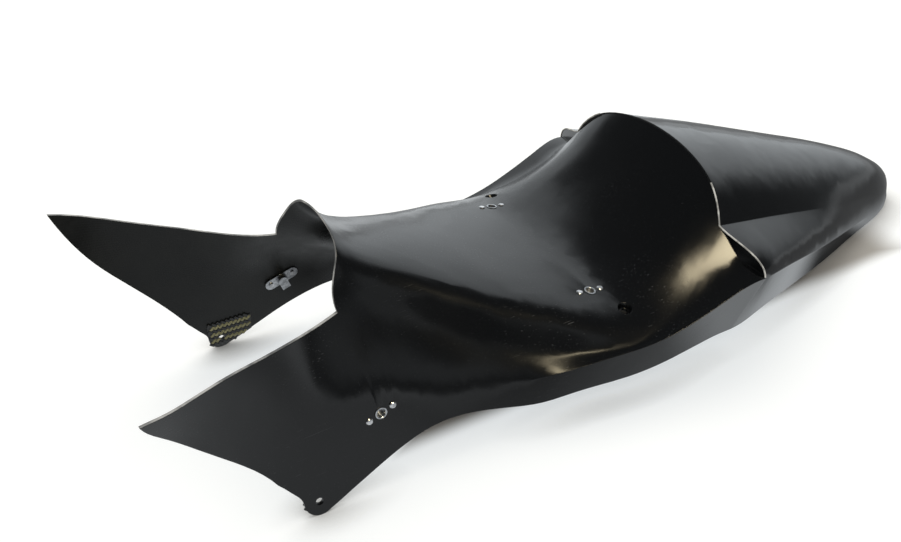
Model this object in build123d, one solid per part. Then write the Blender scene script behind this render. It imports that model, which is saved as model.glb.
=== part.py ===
from build123d import *
import math
import os

# Seat cowl of a motorbike: one thin moulding with riveted quarter-turn clips.
# X runs rearward, Y to the right-hand side, Z up, in millimetres. The cowl
# stands on its two panel lobes and on the tail end. While it is drawn, x is
# measured from the lobes; at the end it moves so the origin lies on the floor
# under the middle of the outline.

# Moulding
wall = 2.6
crest_wall = 6.5
end_wall = 5.0
step_wall = 3.4
reach = 260.0

# Side panels
tip_x = -115.0
tip_half = 162.0
tip_z = 182.0
joint_x = 66.0
joint_half = 71.0
joint_z = 151.0
panel_half = 117.0
lobe_x = 11.0
lobe_z = 13.0
lobe_round = 13.0
lobe_hole_d = 6.6
front_turn_x = -20.0
front_turn_z = 44.0
panel_rear_x = 129.0
panel_rear_z = 42.0

# Seat
arch_x = 84.0
arch_z = 205.0
arch_half = 50.0
seat_x = 310.0
seat_z = 99.0
seat_half = 130.0
seat_drop = 14.0
mid_share = 0.155
side_share = 0.5
crest_share = 0.47
corner_hole_x = 328.0
corner_hole_half = 120.0
corner_hole_d = 8.0
dimple_d = 19.0
dimple_depth = 5.0

# Tail
crest_x = 452.0
crest_z = 188.5
crest_lip = 1.5
notch_x = 437.0
notch_half = 115.0
notch_z = 139.0
ear_x = 452.0
ear_half = 168.0
ear_z = 105.0
end_x = 822.0
end_half = 10.0
end_z = 26.0

# Skirt
skirt_low_z = 20.0
skirt_ear_z = 32.0

# Quarter-turn clips and their rivets
panel_clip_x = 78.0
panel_clip_z = 71.0
panel_clip_tilt = 19.0
seat_clip_half = 89.0
rivet_pitch = 24.0
rivet_d = 3.2
rivet_head_d = 6.4
rivet_head_h = 1.5
rivet_tail_d = 4.8
rivet_tail_h = 1.6
clip_width = 12.0
clip_plate = 1.2
collar_d = 11.0
collar_bore_d = 8.0
collar_proud = 0.6
collar_mouth = 0.3
cup_d = 11.4
cup_low_d = 10.0
cup_depth = 5.0
clip_tab = 9.0
clip_gap = 0.9
fit = 0.15
lip = 6.0

# Woven corner patches inside the panel lobes
patch_thickness = 0.8
patch_length = 46.0
patch_height = 34.0

# Guide lines: rows of station x followed by z, or by half width and z.
flank = ear_half - seat_half
shelf = ear_half - notch_half
centre = [
    (-140, arch_z + 72),
    (0, arch_z + 54),
    (40, arch_z + 46),
    (66, arch_z + 30),
    (arch_x, arch_z),
    (92, arch_z - 11),
    (102, arch_z - 21),
    (116, arch_z - 30),
    (137, arch_z - 41),
    (201, 134),
    (257, 113),
    (seat_x, seat_z),
    (334, seat_z - 2),
    (360, seat_z + 6),
    (390, 126),
    (420, 154),
    (crest_x, crest_z - crest_lip),
    (472, crest_z - crest_lip + 20),
]
shoulder = [
    (-140, 150, arch_z + 50),
    (-70, 120, arch_z + 36),
    (0, 86, arch_z + 22),
    (40, 64, arch_z + 12),
    (66, 54, arch_z + 1),
    (80, arch_half, arch_z - 19),
    (92, arch_half + 2, arch_z - 34),
    (104, arch_half + 6, arch_z - 44),
    (137, arch_half + 17, arch_z - 59),
    (201, 95, 119),
    (257, 116, 101),
    (seat_x, seat_half, seat_z - seat_drop),
    (351, seat_half + 3, seat_z - 16),
    (379, seat_half, 91),
    (407, notch_half + 4, 112),
    (notch_x - 7, notch_half + 1, notch_z - 7.5),
    (notch_x + 9, notch_half - 0.5, notch_z + 7.5),
    (notch_x + 35, notch_half - 5, notch_z + 29),
]
hollow = [
    (-140, tip_half + 12, tip_z + 4),
    (tip_x, tip_half, tip_z),
    (-87, 150, 179),
    (-49, 128, 170),
    (-3, 105, 160),
    (31, 87, 153),
    (joint_x, joint_half, joint_z),
    (100, joint_half + 2, joint_z - 18),
    (137, 80, 112),
    (201, 105, 88),
    (257, 128, 73),
    (310, seat_half + 0.45 * flank, 68),
    (351, seat_half + 0.5 * flank, 75),
    (379, seat_half + 0.47 * flank, 83),
    (413, notch_half + 0.53 * shelf, 97),
    (440, notch_half + 0.45 * shelf, 113),
    (472, notch_half + 0.42 * shelf, 122),
]
crease = [
    (-140, 122, 108),
    (-98, 130, 97),
    (-64, 131, 86),
    (-22, panel_half + 4, 76),
    (0, panel_half, 75),
    (panel_clip_x, panel_half, panel_clip_z),
    (133, panel_half + 2, 62),
    (188, 126, 58),
    (240, seat_half + 0.29 * flank, 61),
    (290, seat_half + 0.6 * flank, 67),
    (338, seat_half + 0.79 * flank, 71),
    (380, ear_half - 4, 83),
    (413, ear_half - 2, 96),
    (438, ear_half, ear_z),
    (ear_x, ear_half, ear_z),
    (520, 0.84 * ear_half, 84),
    (575, 0.71 * ear_half, 66),
    (640, 0.555 * ear_half, 47),
    (710, 0.38 * ear_half, 28),
    (770, 0.24 * ear_half, 13),
    (795, 0.17 * ear_half, 8),
    (810, 2 * end_half, 6),
    (end_x, end_half - 1, 5),
]
lean = [
    (-140, -0.1),
    (-70, 0.0),
    (0, 0.2),
    (40, 0.22),
    (88, 0.25),
    (133, 0.28),
    (188, 0.14),
    (230, -0.12),
    (270, -0.36),
    (333, -0.38),
    (440, -0.34),
    (600, -0.28),
    (730, -0.22),
    (790, -0.06),
    (end_x, 0.0),
]
tail_top = [
    (405, 208),
    (crest_x, crest_z),
    (534, 161),
    (580, 144.5),
    (634, 125),
    (693, 104),
    (756, 77),
    (790, 57),
    (805, 46),
    (815, 35),
    (end_x, end_z),
]
kink = [
    (405, notch_half + 5, 149),
    (notch_x, notch_half, notch_z),
    (520, 0.87 * notch_half, 115),
    (575, 0.78 * notch_half, 98),
    (640, 0.66 * notch_half, 77),
    (710, 0.48 * notch_half, 54),
    (770, 0.32 * notch_half, 34),
    (795, 0.235 * notch_half, 24),
    (810, 2 * end_half - 2, 17),
    (end_x, end_half - 2, 12),
]

# Sections
front_stations = [-130, -100, -70, -40, -10, 18, 42, 60, 74, 86, 98, 114, 135, 160, 190, 225]
front_stations += [260, 290, 320, 350, 380, 408, 432, 452, 470]
tail_stations = [410, 437, 460, 485, 510, 540, 570, 600, 630, 660, 690, 720, 745, 765, 782, 797]
tail_stations += [809, 817, end_x]
outer_bottom = -60.0
inner_bottom = -90.0
clip_back = -wall - clip_gap - clip_plate
seat_knots = [0.0, 0.27, 0.45, 0.56, 0.77, 0.95, 1.0]
dome_knots = [0.0, 0.43, 0.72, 1.0]
shelf_knots = [0.0, 0.41, 0.81, 1.0]


def along(guide, x):
    """Ordinates of a guide line at station x, by cubic pieces."""
    last = len(guide) - 1
    i = max(0, min(last - 1, sum(1 for row in guide if row[0] <= x) - 1))
    a, b = guide[i], guide[i + 1]
    span = b[0] - a[0]
    t = (x - a[0]) / span

    def slope(j, c):
        before, after = guide[max(j - 1, 0)], guide[min(j + 1, last)]
        return (after[c] - before[c]) / (after[0] - before[0]) * span

    values = []
    for c in range(1, len(a)):
        u, v, rise = slope(i, c), slope(i + 1, c), b[c] - a[c]
        values.append(a[c] + t * u + t * t * (3 * rise - 2 * u - v) + t**3 * (u + v - 2 * rise))
    return values


def unit(y, z):
    size = math.hypot(y, z)
    return (y / size, z / size)


def smooth_step(x, low, high):
    t = max(0.0, min(1.0, (x - low) / (high - low)))
    return t * t * (3 - 2 * t)


def front_chains(x):
    """Half section of seat and panels: crown to crease, then the skirt."""
    (cz,), (sy, sz) = along(centre, x), along(shoulder, x)
    (gy, gz), (ky, kz), (slope,) = along(hollow, x), along(crease, x), along(lean, x)
    drop = cz - sz
    share = side_share + (crest_share - side_share) * smooth_step(x, 370, notch_x)
    crown = [(0, cz), (0.5 * sy, cz - mid_share * drop), (0.82 * sy, cz - share * drop), (sy, sz), (gy, gz)]
    down = unit(slope, -1)
    across = unit(ky - gy, kz - gz)
    sharp = smooth_step(x, 140, 260)
    arrive = unit(*[(1 - sharp) * d + sharp * a for d, a in zip(down, across)])
    lead = 0.25 * math.hypot(ky - gy, kz - gz)
    crown += [(ky - lead * arrive[0], kz - lead * arrive[1]), (ky, kz)]
    return [crown, [(ky, kz), (ky + slope * (kz - outer_bottom), outer_bottom)]]


def tail_chains(x):
    """Half section of the tail: dome to the kink, shelf to the crease, skirt."""
    (cz,), (ny, nz) = along(tail_top, x), along(kink, x)
    (ky, kz), (slope,) = along(crease, x), along(lean, x)
    drop = cz - nz
    dome = [(0, cz), (0.5 * ny, cz - 0.145 * drop), (0.8 * ny, cz - 0.43 * drop), (ny, nz)]
    rim = (ny + 0.92 * (ky - ny), kz + 0.35 * (nz - kz))
    ledge = [(ny, nz), (0.5 * (ny + rim[0]), 0.5 * (nz + rim[1]) + 0.015 * ky), rim, (ky, kz)]
    return [dome, ledge, [(ky, kz), (ky + slope * (kz - outer_bottom), outer_bottom)]]


def mirrored(points):
    return [(-y, z) for y, z in reversed(points)]


def chain_edge(x, points, crown=False, side=1):
    """One chain of a section as an edge in the plane of station x. Like chains
    share their knots, so that a loft stays plain."""
    if len(points) == 2:
        return Line(*[Vector(x, side * y, z) for y, z in points])
    knots = shelf_knots
    if crown:
        knots = seat_knots if len(points) == len(seat_knots) else dome_knots
        knots = [-k for k in reversed(knots[1:])] + knots
        points = mirrored(points[1:]) + points
    return Edge.make_spline([Vector(x, side * y, z) for y, z in points], parameters=knots)


def inset(x, chains, depth):
    """The same chains moved inward by depth, square to the drawn edges."""
    normals = []
    for k, points in enumerate(chains):
        edge = chain_edge(x, points, crown=k == 0)
        ways = [edge.tangent_at(edge.param_at_point(Vector(x, *p))) for p in points]
        normals.append([unit(way.Z, -way.Y) for way in ways])
    moved = []
    for k, points in enumerate(chains):
        beside = list(normals[k])
        if k:
            beside[0] = normals[k - 1][-1]
        if k + 1 < len(chains):
            beside[-1] = normals[k + 1][0]
        row = []
        for p, n, m in zip(points, normals[k], beside):
            share = depth / (1 + n[0] * m[0] + n[1] * m[1])
            row.append((p[0] + share * (n[0] + m[0]), p[1] + share * (n[1] + m[1])))
        moved.append(row)
    old, new = chains[0], moved[0]
    if len(new) == len(seat_knots):
        # the point ahead of the crease keeps its share of the last stretch
        share = math.dist(new[-1], new[-3]) / math.dist(old[-1], old[-3])
        new[-2] = tuple(c - share * (b - a) for a, b, c in zip(old[-2], old[-1], new[-1]))
    (ay, az), (by, bz) = moved[-1]
    moved[-1] = [(ay, az), (ay + (by - ay) * (inner_bottom - az) / (bz - az), inner_bottom)]
    return moved


def section(x, chains):
    """Closed section wire at station x, both sides and the flat bottom."""
    edges = [chain_edge(x, chains[0], crown=True)]
    for points in chains[1:]:
        edges += [chain_edge(x, points, side=s) for s in (1, -1)]
    low = chains[-1][-1]
    edges.append(Line(Vector(x, *low), Vector(x, -low[0], low[1])))
    return Wire(edges)


def front_body(depth):
    """Loft of seat, backrest and panels; a depth gives the hollow inside."""
    wires = []
    for x in front_stations:
        chains = front_chains(x)
        if depth:
            grow = (crest_wall - wall) * smooth_step(x, 340, crest_x)
            chains = inset(x, chains, depth + grow)
        wires.append(section(x, chains))
    return Solid.make_loft(wires)


def tail_body(depth):
    """Loft of the tail; a depth gives the hollow inside, short of the end."""
    wires = []
    for x in tail_stations:
        chains = tail_chains(x)
        if depth:
            if x > end_x - 10:
                continue
            grow = (end_wall - wall) * smooth_step(x, 770, 815)
            chains = inset(x, chains, depth + grow)
        wires.append(section(x, chains))
    return Solid.make_loft(wires)


def behind_crest(gap):
    """All that lies behind the crest line and the ear steps, gap further back."""
    far = end_x + reach
    slant = (ear_x - notch_x) / (ear_half - notch_half)
    out_x = notch_x + slant * (reach - notch_half) + gap
    middle = (notch_x + 0.8 * (crest_x - notch_x) + gap, 0.6 * notch_half)
    corner = (notch_x + gap, notch_half)
    arc = [(corner[0], -corner[1]), (middle[0], -middle[1]), (crest_x + gap, 0), middle, corner]
    rim = [corner, (out_x, reach), (far, reach), (far, -reach), (out_x, -reach), arc[0]]
    face = make_face(Wire([Spline(*arc), *Polyline(*rim).edges()]))
    return extrude(Pos(0, 0, -reach) * face, 3 * reach)


def side_outline():
    """Trim of the moulding in side view, carried across its width."""
    top = arch_z + 120
    back = end_x + 40
    arch = [(arch_x, arch_z + 8), (arch_x - 4, arch_z - 10), (70, arch_z - 30), (joint_x, joint_z)]
    upper = [(joint_x, joint_z), (31, joint_z + 2), (-3, 160), (-49, 170), (tip_x, tip_z)]
    lobe_rear = (lobe_x + 0.5 * lobe_round, lobe_z - 0.866 * lobe_round)
    lobe_front = (lobe_x - lobe_round, lobe_z)
    lower = [
        lobe_rear,
        (40, 11.5),
        (79, 29),
        (panel_rear_x, panel_rear_z),
        (188, 35),
        (249, skirt_low_z + 3),
        (310, skirt_low_z),
        (381, skirt_low_z + 6),
        (440, skirt_ear_z),
        (492, skirt_ear_z - 1),
        (571, skirt_ear_z - 9),
        (669, 11),
        (750, 4),
        (800, 0),
    ]
    edges = [
        Line((arch_x, top), arch[0]),
        Spline(*arch),
        Spline(*upper),
        Spline((tip_x, tip_z), (-98, 148), (-64, 104), (front_turn_x, front_turn_z)),
        Spline((front_turn_x, front_turn_z), (-9, 29), lobe_front, tangents=((1, -1.2), (0, -1))),
        ThreePointArc(lobe_front, (lobe_x, lobe_z - lobe_round), lobe_rear),
        Spline(*lower),
        *Polyline((800, 0), (back, 0), (back, top), (arch_x, top)).edges(),
    ]
    return extrude(Plane.XZ * make_face(Wire(edges)), reach, both=True)


def skin_plane(solid, start, look, along_x):
    """Plane on the first skin met from start in the direction look, its Z out
    of the skin and its X along the given line."""
    hits = solid.find_intersection_points(Axis(start, look))
    point, normal = min(hits, key=lambda hit: (hit[0] - Vector(start)).length)
    if normal.dot(Vector(look)) > 0:
        normal = normal * -1
    flat = Vector(along_x) - normal * Vector(along_x).dot(normal)
    return Plane(point, x_dir=flat, z_dir=normal)


def barrel(diameter, low, high):
    """Upright cylinder between two heights."""
    return Pos(0, 0, 0.5 * (low + high)) * Cylinder(0.5 * diameter, high - low)


def dimple(grow):
    """Dished seat round a corner hole; grow gives its back."""
    deep = dimple_depth + grow
    low, high = 0.25 * dimple_d + grow, 0.5 * dimple_d + grow
    return Pos(0, 0, 0.5 * (lip - deep)) * Cone(low, high, deep + lip)


def clip(turn):
    """Quarter-turn clip: riveted plate with flared collar and tab, and the cup
    that closes the collar's back. The turn of 1 or -1 sets the tab's side."""
    body = Pos(0, 0, clip_back) * extrude(SlotOverall(rivet_pitch + clip_width, clip_width), clip_plate)
    tab = Box(clip_tab, clip_tab + clip_width, clip_plate, align=(Align.CENTER, Align.CENTER, Align.MIN))
    cup = Pos(0, 0, clip_back - 0.5 * cup_depth) * Cone(0.5 * cup_low_d, 0.5 * cup_d, cup_depth)
    body += Pos(0, 0.5 * turn * clip_tab, clip_back) * tab
    body += barrel(collar_d, clip_back, collar_proud)
    body -= barrel(collar_bore_d, clip_back - lip, collar_proud + lip)
    mouth = Cone(0.5 * collar_bore_d, 0.5 * collar_bore_d + 2 * collar_mouth, 2 * collar_mouth)
    body -= Pos(0, 0, collar_proud) * mouth
    for side in (-1, 1):
        body -= Pos(0.5 * side * rivet_pitch, 0, 0) * barrel(rivet_d, clip_back - lip, lip)
    return [body, cup]


def rivet():
    """Headed rivet through skin and clip plate."""
    head = barrel(rivet_head_d, 0, rivet_head_h)
    head = chamfer(head.edges().sort_by(Axis.Z)[-1], 0.5 * rivet_head_h)
    return head + barrel(rivet_d, clip_back, 0) + barrel(rivet_tail_d, clip_back - rivet_tail_h, clip_back)


# Moulding
seat_hollow = front_body(wall)
crest_cut = behind_crest(0)
hollow_cut = behind_crest(step_wall)
outer = (front_body(0) - crest_cut) + (tail_body(0) & crest_cut)
inner = (seat_hollow - hollow_cut) + (tail_body(wall) & hollow_cut)
outline = side_outline()

tilt = math.radians(panel_clip_tilt)
panel_line = (math.cos(tilt), 0, math.sin(tilt))
sides = {"left": -1, "right": 1}
clip_planes = {}
corner_planes = []
for name, side in sides.items():
    panel_start = (panel_clip_x, side * reach, panel_clip_z)
    clip_planes["panel_" + name] = skin_plane(outer, panel_start, (0, -side, 0), panel_line)
    seat_start = (seat_x, side * seat_clip_half, reach)
    clip_planes["seat_" + name] = skin_plane(outer, seat_start, (0, 0, -1), (1, 0, 0))
    corner_start = (corner_hole_x, side * corner_hole_half, reach)
    corner_planes.append(skin_plane(outer, corner_start, (0, 0, -1), (1, 0, 0)))

shell = outer & outline
for plane in corner_planes:
    shell -= plane * dimple(0)
    inner -= plane * dimple(wall)
shell -= inner
lobe_bore = Pos(lobe_x, 0, lobe_z) * Rot(90, 0, 0) * Cylinder(0.5 * lobe_hole_d, 2 * reach)
shell -= lobe_bore
for plane in corner_planes:
    shell -= plane * barrel(corner_hole_d, -4 * dimple_depth, lip)
for plane in clip_planes.values():
    shell -= plane * barrel(collar_d + 2 * fit, -4 * wall, lip)
    for side in (-1, 1):
        shell -= plane * Pos(0.5 * side * rivet_pitch, 0, 0) * barrel(rivet_d, -4 * wall, lip)

parts = {"cowl_shell": shell}
rivets = []
for name, plane in clip_planes.items():
    turn = sides[name.split("_")[1]]
    parts["clip_" + name] = Compound(children=[plane * piece for piece in clip(turn)])
    for side in (-1, 1):
        rivets.append(plane * Pos(0.5 * side * rivet_pitch, 0, 0) * rivet())
parts["rivets"] = Compound(children=rivets)

# Woven patches on the inner skin of the lobes
for name, side in sides.items():
    middle = Pos(lobe_x + 0.2 * patch_length, 0.5 * side * reach, 0)
    area = middle * Box(patch_length, reach, 2 * patch_height)
    layer = (seat_hollow & area & outline) - Pos(0, -side * patch_thickness, 0) * seat_hollow
    parts["patch_" + name] = layer - lobe_bore

os.makedirs("parts", exist_ok=True)
middle_x = 0.5 * (tip_x + end_x)
for name, shape in parts.items():
    export_step(Pos(-middle_x, 0, 0) * shape, "parts/" + name + ".step")
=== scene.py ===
import bmesh
import bpy
import math
import numpy as np
from mathutils import Matrix, Vector


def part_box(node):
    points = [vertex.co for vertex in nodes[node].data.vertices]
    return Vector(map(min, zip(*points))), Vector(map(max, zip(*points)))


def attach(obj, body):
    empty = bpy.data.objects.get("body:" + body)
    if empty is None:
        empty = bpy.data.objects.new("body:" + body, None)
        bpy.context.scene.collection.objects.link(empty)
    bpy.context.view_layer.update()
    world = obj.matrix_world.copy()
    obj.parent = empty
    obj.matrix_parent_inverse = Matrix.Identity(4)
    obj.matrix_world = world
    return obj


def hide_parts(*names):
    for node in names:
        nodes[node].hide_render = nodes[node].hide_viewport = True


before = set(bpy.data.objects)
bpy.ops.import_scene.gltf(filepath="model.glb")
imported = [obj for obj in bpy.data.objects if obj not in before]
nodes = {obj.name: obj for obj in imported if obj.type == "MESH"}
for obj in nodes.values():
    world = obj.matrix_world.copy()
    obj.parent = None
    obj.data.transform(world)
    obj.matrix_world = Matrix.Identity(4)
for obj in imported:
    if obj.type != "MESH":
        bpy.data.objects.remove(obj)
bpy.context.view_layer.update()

# Lengths are in metres. A pair with the name of a range, or of a place along
# an axis, holds the two ends between which something fades in or out.

# View of the photo
camera_place = Vector((-0.5162, -0.6950, 0.6441))
camera_right = Vector((0.8735, -0.4862, -0.0220))
camera_up = Vector((0.2922, 0.4878, 0.8226))
camera_lens = 39.96
camera_film = 36

# Moulding: creases, and how cut edges are told from the skin
weld = 1e-6
crease_angle = math.radians(30)
kink_angle = math.radians(14)
even_rounds = 12
strip_width = 0.0095
cut_level = 3e-4
cut_angle = math.radians(9)
sawn_share = 0.03
tail_start = 0.03
tail_full = 0.10

# Range in which most noise falls
noise_range = (0.3, 0.7)

# Gel coat, outside
gel_black = (0.0026, 0.0029, 0.0033, 1)
satin = 0.20
gloss = 0.13
gel_index = 1.5
gel_shine = 0.42
edge_round = 0.0012
edge_samples = 6
peel = 0.02
peel_scale = 160.0
peel_depth = 0.0006
cloud_scale = 9.0
cloud_rough = (-0.03, 0.04)

# Scuffs in the gel coat. Each set of scratches has a turn, length, width and
# threshold.
scuff_grey = (0.07, 0.073, 0.078, 1)
scuff_scale = 14.0
scuff_range = (0.42, 0.68)
scuff_tint = 0.5
scuff_rough = 0.3
scuff_tail = 0.25
scratch_sets = (
    ((0.3, 0.5, 0.6), 0.07, 0.0012, 0.71),
    ((1.1, 0.2, 2.2), 0.05, 0.0010, 0.72),
)
scratch_fade = 0.05
speck_scale = 900.0
speck_range = (0.70, 0.76)
speck_share = 0.35

# Resin over glass cloth, inside
resin_black = (0.005, 0.0055, 0.005, 1)
resin_pool = (0.012, 0.0125, 0.011, 1)
pool_scale = 22.0
pool_range = (0.35, 0.75)
back_rough = (0.24, 0.44)
back_shine = 0.25
back_relief = 0.25
back_depth = 0.0008
glass_scale = 140.0
glass_wander = 0.6
glass_share = 0.3

# Sawn edge of the laminate
edge_grey = (0.42, 0.41, 0.38, 1)
edge_dark = (0.10, 0.10, 0.095, 1)
grain_scale = 420.0
spot_scale = 60.0
spot_range = (0.35, 0.65)
edge_rough = (0.4, 0.65)
edge_relief = 0.3
edge_depth = 0.0005

# Pale lip of the tail's front edge: partly worn gel coat, partly a painted highlight of its rounded edge
lip_from = 0.088
lip_to = 0.1672
lip_front = 0.075
lip_back = 0.115
lip_low = 0.104
lip_round = 0.0008
lip_sides = 8
lip_bare_and_highlight = (0.66, 0.64, 0.58, 1)
lip_worn = (0.30, 0.29, 0.26, 1)
chip_scale = 130.0
chip_range = (0.38, 0.62)
lip_rough = (0.45, 0.7)
lip_relief = 0.2
lip_depth = 0.0003

# Clips and rivets
clip_grey = (0.60, 0.61, 0.63, 1)
clip_rough = (0.22, 0.42)
rivet_grey = (0.78, 0.78, 0.79, 1)
rivet_rough = (0.20, 0.38)
brush_scale = (300, 2500, 2500)
brush_relief = 0.1
brush_depth = 0.0002
dull_scale = 240.0
dull_range = (0.35, 0.7)
dull_shade = 0.55

# Woven patches. A tow's length, fill and plumpness are shares of its width
# or height.
tow = 0.0031
tow_height = 0.0005
tow_length = 2.1
tow_fill = 0.92
tow_plump = 2.2
tow_crease = 0.45
tow_level = 2
twill_repeat = 4.0
twill_margin = 0.1
drop_length = 1.0
weave_span = 0.076
weave_turn = math.radians(-45)
weave_lowest = 0.0048
tow_yellow = (0.40, 0.37, 0.17, 1)
tow_black = (0.012, 0.012, 0.011, 1)
fibre_scale = 1800.0
fibre_shade = 0.5
fibre_rough = (0.3, 0.5)
fibre_relief = 0.2
fibre_depth = 0.0002

# Floor: white paper whose glow carries a painted shadow: the glow is taken away under the cowl and dimmed
# where the cowl comes close
floor_span = 6.0
painted_shadow_side = (0.085, 0.11)
painted_shadow_front = (-0.27, -0.22)
painted_shadow_back = (0.36, 0.42)
paper_low = (0.90, 0.90, 0.90, 1)
paper_high = (0.94, 0.94, 0.94, 1)
paper_scale = 3.0
paper_rough = 0.8
paper_shade = (0.50, 0.47, 0.42, 1)
# The glow is bluish, which shows as painted blue shade where the lamps' light is shadowed
glow_tint = (0.92, 0.97, 1.0, 1)
paper_glow = 0.66
# Painted contact shadow: the floor's glow is dimmed where the cowl comes within this reach
contact_shadow_reach = 0.035
contact_shadow_samples = 8
contact_shadow_power = 2.0

# Floor as the gel coat mirrors it, along the cowl: a painted reflection whose brightness is set place by
# place
mirror_shade = (0.12, 0.12, 0.12, 1)
mirror_front = 0.58
mirror_middle = 0.25
mirror_tail = 0.82
mirror_far = 0.15
mirror_back = 0.5
mirror_side_y = (0.25, 0.50)
mirror_front_x = (-0.25, -0.08)
mirror_tail_x = (0.02, 0.12)
mirror_far_x = (0.38, 0.50)
mirror_back_x = (0.65, 1.1)
mirror_back_turn = (-14, -3)

# Room: a white backdrop and a paler band on dim walls, in degrees
room_radius = 3.0
room_sides = 48
room_rings = 24
room_foot = -0.02
room_dark = 0.10
room_tint = (0.91, 0.965, 1.0, 1)
drop_level = 1.15
drop_right = (-17, 26)
drop_left = (90, 112)
drop_top = (38, 52)
room_band = 0.42
band_low = (4, 18)
band_high = (26, 37)
band_near = (-50, -32)
band_far = (-92, -76)

# Lights
lamp_way = Vector((-0.110, -0.518, 0.848))
lamp_aim = Vector((0.070, -0.129, 0.111))
lamp_distance = 1.6
lamp_size = 0.50
lamp_warm = (1.0, 0.86, 0.58)
lamp_power = 14.0
key_place = Vector((0.5, 0.9, 2.4))
key_aim = Vector((0, 0, 0))
key_size = 2.4
key_white = (1, 1, 1)
key_power = 26.0
sky_white = (1, 1, 1, 1)
sky_level = 0.72


def add_node(tree, kind, inputs=None, **settings):
    """New node with its settings, and its inputs set by name or number."""
    made = tree.nodes.new(kind)
    for key, value in settings.items():
        setattr(made, key, value)
    for key, value in (inputs or {}).items():
        if isinstance(value, bpy.types.NodeSocket):
            tree.links.new(value, made.inputs[key])
        else:
            made.inputs[key].default_value = value
    return made


def new_material(name):
    made = bpy.data.materials.new(name)
    made.use_nodes = True
    tree = made.node_tree
    return made, tree, tree.nodes["Principled BSDF"]


def place(tree):
    """Place on the piece, in metres."""
    return add_node(tree, "ShaderNodeTexCoord").outputs["Object"]


def parted(tree, where):
    """X, Y and Z of a place."""
    return add_node(tree, "ShaderNodeSeparateXYZ", {0: where}).outputs


def vector(tree, **parts):
    """Vector of X, Y and Z, with 0 for what isn't given."""
    return add_node(tree, "ShaderNodeCombineXYZ", parts).outputs[0]


def noise(tree, where, scale, detail=2.0):
    inputs = {"Vector": where, "Scale": scale, "Detail": detail}
    return add_node(tree, "ShaderNodeTexNoise", inputs).outputs["Fac"]


def ramp(tree, value, low, high, start=0.0, end=1.0):
    """Value carried from low..high to start..end, with soft ends."""
    inputs = {"Value": value, "From Min": low, "From Max": high, "To Min": start, "To Max": end}
    return add_node(tree, "ShaderNodeMapRange", inputs, interpolation_type="SMOOTHSTEP").outputs[0]


def sums(tree, operation, a, b):
    return add_node(tree, "ShaderNodeMath", {0: a, 1: b}, operation=operation).outputs[0]


def blend(tree, share, a, b):
    """Colour between a and b."""
    return add_node(tree, "ShaderNodeMix", {0: share, 6: a, 7: b}, data_type="RGBA").outputs[2]


def shaded(colour, share):
    return tuple(share * part for part in colour[:3]) + (1,)


def coat(tree, shader, colour, rough):
    """Colour and roughness of a material."""
    tree.links.new(colour, shader.inputs["Base Color"])
    tree.links.new(rough, shader.inputs["Roughness"])


def relief(tree, shader, height, strength, depth, **more):
    """Fine relief in the shading of a material."""
    inputs = {"Height": height, "Strength": strength, "Distance": depth, **more}
    bump = add_node(tree, "ShaderNodeBump", inputs)
    tree.links.new(bump.outputs[0], shader.inputs["Normal"])


def scratches(tree, where, turn, length, width, low):
    """Mask of long thin scratches in one direction."""
    inputs = {"Vector": where, "Rotation": turn, "Scale": (1 / length, 1 / width, 1 / width)}
    drawn = add_node(tree, "ShaderNodeMapping", inputs).outputs[0]
    return ramp(tree, noise(tree, drawn, 1.0, detail=1.0), low, low + scratch_fade)


def gel_coat():
    """Black gel coat: gloss on the tail, satin and lightly scuffed in front."""
    made, tree, shader = new_material("gel_coat")
    where = place(tree)
    along = parted(tree, where)["X"]
    worn = ramp(tree, along, tail_start, tail_full, 1.0, scuff_tail)
    patches = ramp(tree, noise(tree, where, scuff_scale, detail=3.0), *scuff_range)
    lines, cross = [scratches(tree, where, *each) for each in scratch_sets]
    lines = sums(tree, "MULTIPLY", sums(tree, "MAXIMUM", lines, cross), patches)
    specks = ramp(tree, noise(tree, where, speck_scale, detail=1.0), *speck_range)
    marks = sums(tree, "MAXIMUM", lines, sums(tree, "MULTIPLY", specks, speck_share))
    marks = sums(tree, "MULTIPLY", marks, worn)
    colour = blend(tree, sums(tree, "MULTIPLY", marks, scuff_tint), gel_black, scuff_grey)
    base = ramp(tree, along, tail_start, tail_full, satin, gloss)
    cloud = ramp(tree, noise(tree, where, cloud_scale, detail=4.0), *noise_range, *cloud_rough)
    rough = sums(tree, "ADD", base, cloud)
    rough = sums(tree, "ADD", rough, sums(tree, "MULTIPLY", marks, scuff_rough))
    coat(tree, shader, colour, rough)
    ripple = noise(tree, where, peel_scale)
    rounded = add_node(tree, "ShaderNodeBevel", {"Radius": edge_round}, samples=edge_samples)
    relief(tree, shader, ripple, peel, peel_depth, Normal=rounded.outputs[0])
    shader.inputs["IOR"].default_value = gel_index
    shader.inputs["Specular IOR Level"].default_value = gel_shine
    return made


def back_side():
    """Inside of the moulding: dark resin over glass cloth."""
    made, tree, shader = new_material("back_side")
    where = place(tree)
    waves = []
    for axis in ("X", "Z"):
        inputs = {"Vector": where, "Scale": glass_scale, "Distortion": glass_wander, "Detail": 1.0}
        waves.append(add_node(tree, "ShaderNodeTexWave", inputs, bands_direction=axis).outputs["Fac"])
    glass = sums(tree, "MULTIPLY", *waves)
    pools = noise(tree, where, pool_scale, detail=4.0)
    colour = blend(tree, ramp(tree, pools, *pool_range), resin_black, resin_pool)
    coat(tree, shader, colour, ramp(tree, pools, *noise_range, *back_rough))
    height = sums(tree, "ADD", sums(tree, "MULTIPLY", glass, glass_share), pools)
    relief(tree, shader, height, back_relief, back_depth)
    shader.inputs["Specular IOR Level"].default_value = back_shine
    return made


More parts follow.
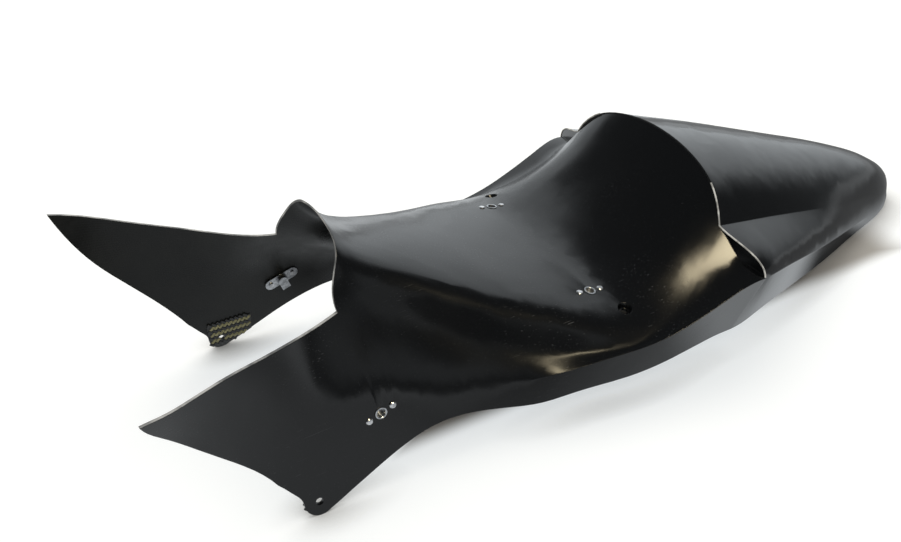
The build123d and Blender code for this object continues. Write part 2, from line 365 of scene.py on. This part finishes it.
def cut_edge():
    """Sawn and sanded edge of the laminate."""
    made, tree, shader = new_material("cut_edge")
    where = place(tree)
    grain = noise(tree, where, grain_scale, detail=3.0)
    spots = ramp(tree, noise(tree, where, spot_scale, detail=3.0), *spot_range)
    colour = blend(tree, spots, edge_dark, edge_grey)
    coat(tree, shader, colour, ramp(tree, grain, *noise_range, *edge_rough))
    relief(tree, shader, grain, edge_relief, edge_depth)
    return made


def lip_wear_and_highlight():
    """Pale lip: partly bare laminate where the gel coat has chipped off, partly a painted highlight of the
    rounded edge.
    """
    made, tree, shader = new_material("lip_wear_and_highlight")
    where = place(tree)
    chips = noise(tree, where, chip_scale, detail=3.0)
    colour = blend(tree, ramp(tree, chips, *chip_range), lip_worn, lip_bare_and_highlight)
    coat(tree, shader, colour, ramp(tree, chips, *noise_range, *lip_rough))
    relief(tree, shader, chips, lip_relief, lip_depth)
    return made


def metal(name, colour, rough):
    """Plated or plain metal with fine brushing and dull spots."""
    made, tree, shader = new_material(name)
    where = place(tree)
    drawn = add_node(tree, "ShaderNodeMapping", {"Vector": where, "Scale": brush_scale}).outputs[0]
    brushed = noise(tree, drawn, 1.0)
    dull = ramp(tree, noise(tree, where, dull_scale, detail=3.0), *dull_range)
    colour = blend(tree, dull, colour, shaded(colour, dull_shade))
    coat(tree, shader, colour, ramp(tree, brushed, *noise_range, *rough))
    shader.inputs["Metallic"].default_value = 1.0
    relief(tree, shader, brushed, brush_relief, brush_depth)
    return made


def cloth_tow(name, colour):
    """One colour of the woven cloth, with fine fibres, under resin."""
    made, tree, shader = new_material(name)
    fibres = noise(tree, place(tree), fibre_scale)
    colour = blend(tree, ramp(tree, fibres, *noise_range), shaded(colour, fibre_shade), colour)
    coat(tree, shader, colour, ramp(tree, fibres, *noise_range, *fibre_rough))
    relief(tree, shader, fibres, fibre_relief, fibre_depth)
    return made


def finish_piece(name, mesh):
    """Object of a finished mesh, riding on the cowl."""
    piece = bpy.data.objects.new(name, mesh)
    bpy.context.scene.collection.objects.link(piece)
    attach(piece, "root")
    return piece


def face_groups(bm):
    """Groups of faces that are joined by soft edges."""
    group = np.full(len(bm.faces), -1)
    count = 0
    for first in bm.faces:
        if group[first.index] >= 0:
            continue
        group[first.index] = count
        open_faces = [first]
        while open_faces:
            for edge in open_faces.pop().edges:
                for face in edge.link_faces if edge.smooth else ():
                    if group[face.index] < 0:
                        group[face.index] = count
                        open_faces.append(face)
        count += 1
    return group, count


def even_normals(bm):
    """Corner normals evened out along the skin, but not across creases."""
    split = bm.copy()
    hard = [edge for edge in split.edges if not edge.smooth]
    bmesh.ops.split_edges(split, edges=hard)
    split.verts.index_update()
    split.normal_update()
    normals = np.array([vert.normal for vert in split.verts])
    pairs = np.array([[vert.index for vert in edge.verts] for edge in split.edges])
    for _ in range(even_rounds):
        total = normals.copy()
        np.add.at(total, pairs[:, 0], normals[pairs[:, 1]])
        np.add.at(total, pairs[:, 1], normals[pairs[:, 0]])
        normals = total / np.linalg.norm(total, axis=1, keepdims=True)
    corners = [normals[loop.vert.index] for face in split.faces for loop in face.loops]
    split.free()
    return corners


def lip_edges(bm, group, tail):
    """Mesh of the edges where the tail's skin meets its front step, outboard."""
    places, pairs = [], []
    for edge in bm.edges:
        ends = [vert.co.copy() for vert in edge.verts]
        sides = [tail[group[face.index]] for face in edge.link_faces]
        ahead = max(end.x for end in ends) < lip_back
        outboard = all(lip_from < abs(end.y) < lip_to for end in ends)
        above = min(end.z for end in ends) > lip_low
        if ahead and outboard and above and sides.count(True) == 1:
            pairs.append((len(places), len(places) + 1))
            places += ends
    mesh = bpy.data.meshes.new("lip_line")
    mesh.from_pydata(places, pairs, [])
    return mesh


def shell_skin(node, materials):
    """Copy of the moulding with even shading; outside, inside and cut edges
    have materials of their own. Gives the line of the tail's lip."""
    mesh = node.data.copy()
    mesh.name = "shell_skin"
    mesh.materials.clear()
    for made in materials:
        mesh.materials.append(made)
    bm = bmesh.new()
    bm.from_mesh(mesh)
    bmesh.ops.remove_doubles(bm, verts=bm.verts, dist=weld)
    bm.faces.index_update()
    cut = np.array([abs(face.normal.y) < cut_level for face in bm.faces])
    for edge in bm.edges:
        sides = [face.index for face in edge.link_faces]
        limit = kink_angle if min(vert.co.x for vert in edge.verts) > tail_full else crease_angle
        limit = limit if cut[sides[0]] == cut[sides[-1]] else cut_angle
        edge.smooth = len(sides) == 2 and edge.calc_face_angle() < limit
    for face in bm.faces:
        face.smooth = True
    group, count = face_groups(bm)
    area, rim, outward, sawn = np.zeros((4, count))
    start = np.full(count, np.inf)
    for face in bm.faces:
        k = group[face.index]
        size = face.calc_area()
        side = math.copysign(1.0, face.calc_center_median().y)
        area[k] += size
        start[k] = min(start[k], min(vert.co.x for vert in face.verts))
        sawn[k] += size * cut[face.index]
        outward[k] += size * (face.normal.z + side * face.normal.y)
        rim[k] += sum(edge.calc_length() for edge in face.edges if not edge.smooth)
    thin = 2 * area < strip_width * rim
    sawn_edge = thin & (sawn > sawn_share * area) & (start < 0)
    # 0 is outside, 1 inside, 2 a cut edge
    kind = np.where(sawn_edge, 2, outward < 0)
    for face in bm.faces:
        face.material_index = int(kind[group[face.index]])
    line = lip_edges(bm, group, ~thin & (outward > 0) & (start > lip_front))
    corners = even_normals(bm)
    bm.to_mesh(mesh)
    bm.free()
    mesh.normals_split_custom_set(corners)
    piece = finish_piece("shell_skin", mesh)
    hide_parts("cowl_shell")
    return line


def dress(node, made):
    """Gives a CAD node its material."""
    node.data.materials.clear()
    node.data.materials.append(made)


def tree_sockets(tree, sizes):
    """Input and output of a node tree, with its sizes as named inputs."""
    tree.interface.new_socket("Geometry", in_out="INPUT", socket_type="NodeSocketGeometry")
    for name in sizes:
        tree.interface.new_socket(name, in_out="INPUT", socket_type="NodeSocketFloat")
    tree.interface.new_socket("Geometry", in_out="OUTPUT", socket_type="NodeSocketGeometry")
    return tree.nodes.new("NodeGroupInput").outputs, tree.nodes.new("NodeGroupOutput")


def weave_tree(weft, warp):
    """Twill cloth on a patch: plump tows, over two and under two, laid out in
    the middle plane and dropped on the skin along Y."""
    tree = bpy.data.node_groups.new("weave", "GeometryNodeTree")
    sizes = ("Tow width", "Tow height", "Span", "Middle X", "Middle Z", "Lowest", "Turn", "Way")
    given, out = tree_sockets(tree, sizes)
    rows = sums(tree, "FLOOR", sums(tree, "DIVIDE", given["Span"], given["Tow width"]), 0.0)
    inputs = {"Size X": given["Span"], "Size Y": given["Span"], "Vertices X": rows, "Vertices Y": rows}
    grid = add_node(tree, "GeometryNodeMeshGrid", inputs).outputs["Mesh"]
    tilt = sums(tree, "MULTIPLY", given["Way"], 0.5 * math.pi)
    middle = vector(tree, X=given["Middle X"], Z=given["Middle Z"])
    lean = vector(tree, X=tilt, Y=given["Turn"])
    inputs = {"Geometry": grid, "Translation": middle, "Rotation": lean}
    laid = add_node(tree, "GeometryNodeTransform", inputs).outputs[0]
    number = add_node(tree, "GeometryNodeInputIndex").outputs[0]
    column = sums(tree, "FLOOR", sums(tree, "DIVIDE", number, rows), 0.0)
    step = sums(tree, "ADD", column, sums(tree, "MODULO", number, rows))
    repeat = sums(tree, "MODULO", step, twill_repeat)
    way = vector(tree, Y=given["Way"])
    inputs = {"Target Geometry": given["Geometry"], "Ray Direction": way, "Ray Length": drop_length}
    ray = add_node(tree, "GeometryNodeRaycast", inputs).outputs
    height = parted(tree, ray["Hit Position"])["Z"]
    kept = sums(tree, "MULTIPLY", ray["Is Hit"], sums(tree, "GREATER_THAN", height, given["Lowest"]))
    cube = add_node(tree, "GeometryNodeMeshCube").outputs["Mesh"]
    inputs = {"Mesh": cube, "Level": tow_level, "Edge Crease": tow_crease}
    plump = add_node(tree, "GeometryNodeSubdivisionSurface", inputs).outputs[0]
    length = sums(tree, "MULTIPLY", given["Tow width"], tow_length)
    width = sums(tree, "MULTIPLY", given["Tow width"], tow_fill)
    thick = sums(tree, "MULTIPLY", given["Tow height"], tow_plump)
    size = vector(tree, X=length, Y=width, Z=thick)
    ahead = vector(tree, X=sums(tree, "MULTIPLY", given["Tow width"], 0.5))
    inputs = {"Geometry": plump, "Scale": size, "Translation": ahead}
    form = add_node(tree, "GeometryNodeTransform", inputs).outputs[0]
    soft = add_node(tree, "GeometryNodeSetShadeSmooth", {"Geometry": form}).outputs[0]
    joined = add_node(tree, "GeometryNodeJoinGeometry")
    for made, first, quarter in ((weft, 0.0, 0.0), (warp, 0.5 * twill_repeat, -1.0)):
        turn = sums(tree, "ADD", given["Turn"], sums(tree, "MULTIPLY", tilt, quarter))
        inputs = {"Rotation": vector(tree, X=tilt, Y=turn), "Vector": ray["Hit Normal"]}
        face = add_node(tree, "FunctionNodeAlignRotationToVector", inputs, axis="Z").outputs[0]
        inputs = {0: repeat, 1: first, 2: twill_margin}
        chosen = add_node(tree, "ShaderNodeMath", inputs, operation="COMPARE").outputs[0]
        chosen = sums(tree, "MULTIPLY", chosen, kept)
        inputs = {"Points": laid, "Selection": chosen, "Instance": soft, "Rotation": face}
        tows = add_node(tree, "GeometryNodeInstanceOnPoints", inputs).outputs[0]
        inputs = {"Geometry": tows, "Position": ray["Hit Position"]}
        dropped = add_node(tree, "GeometryNodeSetPosition", inputs).outputs[0]
        real = add_node(tree, "GeometryNodeRealizeInstances", {"Geometry": dropped}).outputs[0]
        inputs = {"Geometry": real, "Material": made}
        tree.links.new(add_node(tree, "GeometryNodeSetMaterial", inputs).outputs[0], joined.inputs[0])
    tree.links.new(joined.outputs[0], out.inputs[0])
    return tree


def bead_tree(made):
    """Round bead that follows the edges of a mesh."""
    tree = bpy.data.node_groups.new("bead", "GeometryNodeTree")
    given, out = tree_sockets(tree, ("Radius",))
    line = add_node(tree, "GeometryNodeMeshToCurve", {"Mesh": given["Geometry"]}).outputs[0]
    inputs = {"Resolution": lip_sides, "Radius": given["Radius"]}
    ring = add_node(tree, "GeometryNodeCurvePrimitiveCircle", inputs)
    inputs = {"Curve": line, "Profile Curve": ring.outputs["Curve"], "Fill Caps": True}
    bead = add_node(tree, "GeometryNodeCurveToMesh", inputs).outputs[0]
    real = add_node(tree, "GeometryNodeRealizeInstances", {"Geometry": bead}).outputs[0]
    soft = add_node(tree, "GeometryNodeSetShadeSmooth", {"Geometry": real}).outputs[0]
    done = add_node(tree, "GeometryNodeSetMaterial", {"Geometry": soft, "Material": made})
    tree.links.new(done.outputs[0], out.inputs[0])
    return tree


def grown(name, base, tree, sizes):
    """Plain mesh of a node tree at the given sizes, on a merged copy of a mesh."""
    bm = bmesh.new()
    bm.from_mesh(base)
    bmesh.ops.remove_doubles(bm, verts=bm.verts, dist=weld)
    mesh = bpy.data.meshes.new(name)
    bm.to_mesh(mesh)
    bm.free()
    host = bpy.data.objects.new(name, mesh)
    bpy.context.scene.collection.objects.link(host)
    modifier = host.modifiers.new(name, "NODES")
    modifier.node_group = tree
    for socket in tree.interface.items_tree:
        if socket.in_out == "INPUT" and socket.name in sizes:
            modifier[socket.identifier] = sizes[socket.name]
    known = bpy.context.evaluated_depsgraph_get()
    made = bpy.data.meshes.new_from_object(host.evaluated_get(known))
    host.modifiers.clear()
    bpy.data.objects.remove(host)
    return made


lip = shell_skin(nodes["cowl_shell"], [gel_coat(), back_side(), cut_edge()])
clip_metal = metal("clip_metal", clip_grey, clip_rough)
rivet_metal = metal("rivet_metal", rivet_grey, rivet_rough)
weave_back = cloth_tow("weave_back", tow_black)
for name, node in nodes.items():
    if name.startswith("clip"):
        dress(node, clip_metal)
    elif name.startswith("patch"):
        dress(node, weave_back)
dress(nodes["rivets"], rivet_metal)

# Pale bead on the tail's lip: partly chipped gel coat, partly a painted highlight
worn = finish_piece("tail_lip", grown("tail_lip", lip, bead_tree(lip_wear_and_highlight()), {"Radius": lip_round}))
cloth = weave_tree(cloth_tow("tow_yellow", tow_yellow), cloth_tow("tow_black", tow_black))
for name, way in (("left", -1.0), ("right", 1.0)):
    low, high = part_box("patch_" + name)
    middle = 0.5 * (Vector(low) + Vector(high))
    sizes = {"Tow width": tow, "Tow height": tow_height, "Span": weave_span, "Turn": weave_turn, "Way": way}
    sizes.update({"Middle X": middle.x, "Middle Z": middle.z, "Lowest": weave_lowest})
    woven = finish_piece("weave_" + name, grown("weave_" + name, nodes["patch_" + name].data, cloth, sizes))


def seen_rays(tree):
    """Masks of what the camera sees and of what is mirrored."""
    paths = add_node(tree, "ShaderNodeLightPath").outputs
    mirrored = sums(tree, "MAXIMUM", paths["Is Glossy Ray"], paths["Is Transmission Ray"])
    return paths["Is Camera Ray"], mirrored


def angles(pair):
    return [math.radians(each) for each in pair]


def rises(pair):
    """Heights on a ball of radius 1 at two angles above the floor."""
    return [math.sin(each) for each in angles(pair)]


def floor():
    """White paper with a painted soft shadow: its glow is taken away under the cowl and dimmed where the
    cowl comes close.
    """
    mesh = bpy.data.meshes.new("floor")
    corners = [(-1, -1), (1, -1), (1, 1), (-1, 1)]
    mesh.from_pydata([(floor_span * x, floor_span * y, 0) for x, y in corners], [], [(0, 1, 2, 3)])
    piece = bpy.data.objects.new("floor", mesh)
    bpy.context.scene.collection.objects.link(piece)
    made, tree, shader = new_material("paper")
    where = place(tree)
    parts = parted(tree, where)
    camera, mirrored = seen_rays(tree)
    # Painted shadow: clear is 0 under the cowl, where the floor's glow is taken away
    side = sums(tree, "ABSOLUTE", parts["Y"], 0.0)
    beside = ramp(tree, side, *painted_shadow_side)
    ahead = ramp(tree, parts["X"], *painted_shadow_front, 1.0, 0.0)
    behind = ramp(tree, parts["X"], *painted_shadow_back)
    clear = sums(tree, "MAXIMUM", beside, sums(tree, "MAXIMUM", ahead, behind))
    # Painted reflection: the floor's glow in the gel coat's reflections is set place by place along the
    # cowl
    middle = ramp(tree, side, *mirror_side_y, mirror_middle, mirror_front)
    front = ramp(tree, parts["X"], *mirror_front_x, mirror_front, middle)
    tail = ramp(tree, parts["X"], *mirror_tail_x, 0.0, mirror_tail - mirror_middle)
    far = ramp(tree, parts["X"], *mirror_far_x, 1.0, mirror_far)
    painted_reflection = sums(tree, "MULTIPLY", sums(tree, "ADD", front, tail), far)
    aside = sums(tree, "ARCTAN2", parts["Y"], parts["X"])
    back = ramp(tree, aside, *angles(mirror_back_turn), 0.0, mirror_back)
    back = sums(tree, "MULTIPLY", back, ramp(tree, parts["X"], *mirror_back_x))
    painted_reflection = sums(tree, "MAXIMUM", painted_reflection, back)
    # Painted contact shadow: the glow seen by the camera is dimmed where the cowl comes close
    inputs = {"Distance": contact_shadow_reach}
    contact_shadow = add_node(tree, "ShaderNodeAmbientOcclusion", inputs, samples=contact_shadow_samples).outputs["AO"]
    contact_shadow = sums(tree, "POWER", contact_shadow, contact_shadow_power)
    glow = sums(tree, "MULTIPLY", sums(tree, "MULTIPLY", camera, paper_glow), contact_shadow)
    glow = sums(tree, "ADD", glow, sums(tree, "MULTIPLY", mirrored, painted_reflection))
    plain = blend(tree, noise(tree, where, paper_scale), paper_low, paper_high)
    shade = blend(tree, mirrored, blend(tree, camera, plain, paper_shade), mirror_shade)
    tree.links.new(shade, shader.inputs["Base Color"])
    tree.links.new(sums(tree, "MULTIPLY", glow, clear), shader.inputs["Emission Strength"])
    shader.inputs["Emission Color"].default_value = glow_tint
    shader.inputs["Roughness"].default_value = paper_rough
    shader.inputs["Specular IOR Level"].default_value = 0.0
    mesh.materials.append(made)


def room():
    """Dim walls and ceiling, seen only in reflections, with a white backdrop behind."""
    bm = bmesh.new()
    bmesh.ops.create_uvsphere(bm, u_segments=room_sides, v_segments=room_rings, radius=room_radius)
    low = [vert for vert in bm.verts if vert.co.z < room_foot]
    bmesh.ops.delete(bm, geom=low, context="VERTS")
    mesh = bpy.data.meshes.new("room")
    bm.to_mesh(mesh)
    bm.free()
    piece = bpy.data.objects.new("room", mesh)
    bpy.context.scene.collection.objects.link(piece)
    made = bpy.data.materials.new("room")
    made.use_nodes = True
    tree = made.node_tree
    tree.nodes.clear()
    parts = parted(tree, place(tree))
    turn = sums(tree, "ARCTAN2", parts["Y"], parts["X"])
    rise = sums(tree, "DIVIDE", parts["Z"], room_radius)
    right = ramp(tree, turn, *angles(drop_right))
    left = ramp(tree, turn, *angles(drop_left), 1.0, 0.0)
    top = ramp(tree, rise, *rises(drop_top), 1.0, 0.0)
    white = sums(tree, "MULTIPLY", sums(tree, "MULTIPLY", right, left), top)
    low = ramp(tree, rise, *rises(band_low))
    high = ramp(tree, rise, *rises(band_high), 1.0, 0.0)
    near = ramp(tree, turn, *angles(band_near), 1.0, 0.0)
    near = sums(tree, "MULTIPLY", near, ramp(tree, turn, *angles(band_far)))
    band = sums(tree, "MULTIPLY", sums(tree, "MULTIPLY", low, high), near)
    band = ramp(tree, band, 0.0, 1.0, room_dark, room_band)
    level = sums(tree, "MAXIMUM", band, ramp(tree, white, 0.0, 1.0, room_dark, drop_level))
    light = add_node(tree, "ShaderNodeEmission", {"Color": room_tint, "Strength": level})
    out = add_node(tree, "ShaderNodeOutputMaterial")
    tree.links.new(light.outputs[0], out.inputs["Surface"])
    mesh.materials.append(made)
    piece.visible_camera = False
    piece.visible_diffuse = False
    piece.visible_shadow = False
    piece.visible_transmission = False


def area_light(name, spot, aim, size, power, colour):
    light = bpy.data.lights.new(name, "AREA")
    light.shape = "DISK"
    light.size = size
    light.energy = power
    light.color = colour
    piece = bpy.data.objects.new(name, light)
    piece.location = spot
    piece.rotation_euler = (aim - spot).to_track_quat("-Z", "Y").to_euler()
    bpy.context.scene.collection.objects.link(piece)
    return piece


def sky():
    """White for what is seen or mirrored, a plain level for the light itself."""
    world = bpy.data.worlds.new("sky")
    world.use_nodes = True
    tree = world.node_tree
    seen = sums(tree, "MAXIMUM", *seen_rays(tree))
    back = tree.nodes["Background"]
    back.inputs["Color"].default_value = sky_white
    inputs = {"Value": seen, "To Min": sky_level, "To Max": 1.0}
    tree.links.new(add_node(tree, "ShaderNodeMapRange", inputs).outputs[0], back.inputs["Strength"])
    bpy.context.scene.world = world


floor()
room()
sky()
lamp = area_light("lamp", lamp_aim + lamp_distance * lamp_way, lamp_aim, lamp_size, lamp_power, lamp_warm)
lamp.visible_diffuse = False
key = area_light("key", key_place, key_aim, key_size, key_power, key_white)
key.visible_glossy = False

view = bpy.data.cameras.new("camera")
view.sensor_width = camera_film
view.lens = camera_lens
eye = bpy.data.objects.new("camera", view)
turned = Matrix((camera_right, camera_up, camera_right.cross(camera_up))).transposed()
eye.matrix_world = Matrix.Translation(camera_place) @ turned.to_4x4()
bpy.context.scene.collection.objects.link(eye)
bpy.context.scene.camera = eye
bpy.context.scene.view_settings.view_transform = "Standard"
